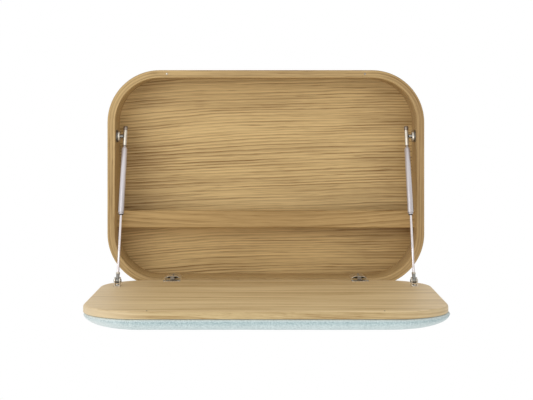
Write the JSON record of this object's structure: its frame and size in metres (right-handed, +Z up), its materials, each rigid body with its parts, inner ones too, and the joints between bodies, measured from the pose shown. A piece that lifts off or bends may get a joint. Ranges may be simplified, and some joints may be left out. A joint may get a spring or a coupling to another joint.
{
  "type": "fold-down wall desk",
  "caption": "Wall-hung writing desk: rounded oak cabinet with a letter shelf, closed by a padded fabric flap that drops on concealed hinges and gas struts.",
  "frame": {"origin": "on the wall plane, in the middle of the wall rail's screw line", "axes": "+X to the viewer's right, +Y into the wall, +Z up; the flap opens towards -Y"},
  "size_m": [0.808, 0.688, 0.5665],
  "materials": {
    "oak_carcass": "oiled oak veneer, grain along the hoop",
    "oak_back": "oiled oak veneer, strong level grain",
    "oak_shelf": "oiled oak veneer",
    "oak_desk": "satin oak veneer",
    "plywood": "raw birch plywood",
    "foam": "firm upholstery foam",
    "wool_fabric": "pale aqua-grey wool felt",
    "grey_tube": "light silver-grey paint",
    "black_seal": "black rubber wiper",
    "dark_polymer": "moulded piston",
    "polished_rod": "hard chrome",
    "magnet": "nickel-plated magnet",
    "nickel": "nickel-plated",
    "zinc_screw": "zinc-plated",
    "satin_steel": "satin steel"
  },
  "bodies": {
    "cabinet": {"top_panel": "oak_carcass", "bottom_panel": "oak_carcass", "left_side_panel": "oak_carcass", "right_side_panel": "oak_carcass", "top_left_corner": "oak_carcass", "top_right_corner": "oak_carcass", "bottom_left_corner": "oak_carcass", "bottom_right_corner": "oak_carcass", "corner_splines": "plywood", "back_panel": "oak_back", "back_panel_screws": "zinc_screw", "shelf_board": "oak_shelf", "shelf_lip": "oak_shelf", "shelf_dowels": "plywood", "hanging_rail": "plywood", "rail_screws": "zinc_screw", "wall_rail": "plywood", "spacer_batten": "plywood", "left_hinge_arm": "nickel", "right_hinge_arm": "nickel", "left_hinge_plate": "nickel", "right_hinge_plate": "nickel", "hinge_plate_screws": "zinc_screw", "left_strut_stud": "satin_steel", "right_strut_stud": "satin_steel", "stud_screws": "zinc_screw", "catch_magnets": "magnet"},
    "flap": {"flap_panel": "oak_desk", "pad_board": "plywood", "pad_foam": "foam", "fabric_cover": "wool_fabric", "left_hinge_cup": "nickel", "right_hinge_cup": "nickel", "left_hinge_pin": "nickel", "right_hinge_pin": "nickel", "hinge_cup_screws": "zinc_screw", "left_strut_bracket": "satin_steel", "right_strut_bracket": "satin_steel", "left_clevis_pin": "satin_steel", "right_clevis_pin": "satin_steel", "bracket_screws": "zinc_screw", "strike_pins": "zinc_screw"},
    "left_rod": {"left_strut_rod": "polished_rod", "left_strut_piston": "dark_polymer", "left_rod_end": "satin_steel", "left_rod_nut": "satin_steel"},
    "left_tube": {"left_strut_tube": "grey_tube", "left_strut_guide": "black_seal", "left_strut_socket": "satin_steel", "left_strut_ball": "satin_steel"},
    "right_rod": {"right_strut_rod": "polished_rod", "right_strut_piston": "dark_polymer", "right_rod_end": "satin_steel", "right_rod_nut": "satin_steel"},
    "right_tube": {"right_strut_tube": "grey_tube", "right_strut_guide": "black_seal", "right_strut_socket": "satin_steel", "right_strut_ball": "satin_steel"}
  },
  "joints": [
    {"name": "flap_hinge", "type": "hinge", "parent": "cabinet", "child": "flap", "pos_m": [0, -0.146, -0.313], "axis": [-1, 0, 0], "range_deg": [0, 90]},
    {"name": "left_rod_pivot", "type": "hinge", "parent": "flap", "child": "left_rod", "pos_m": [-0.359, -0.266, -0.2905], "axis": [-1, 0, 0], "range_deg": [-112, 0]},
    {"name": "left_tube_slide", "type": "slide", "parent": "left_rod", "child": "left_tube", "axis": [0, -0.4321, -0.9018], "range_m": [0, 0.1365]},
    {"name": "right_rod_pivot", "type": "hinge", "parent": "flap", "child": "right_rod", "pos_m": [0.359, -0.266, -0.2905], "axis": [-1, 0, 0], "range_deg": [-112, 0]},
    {"name": "right_tube_slide", "type": "slide", "parent": "right_rod", "child": "right_tube", "axis": [0, -0.4321, -0.9018], "range_m": [0, 0.1365]}
  ],
  "couplings": [
    {"joint": "left_rod_pivot", "follows": "flap_hinge", "ratio": -1.2225},
    {"joint": "left_tube_slide", "follows": "flap_hinge", "m_per_rad": 0.085469},
    {"joint": "right_rod_pivot", "follows": "flap_hinge", "ratio": -1.2225},
    {"joint": "right_tube_slide", "follows": "flap_hinge", "m_per_rad": 0.085469}
  ]
}
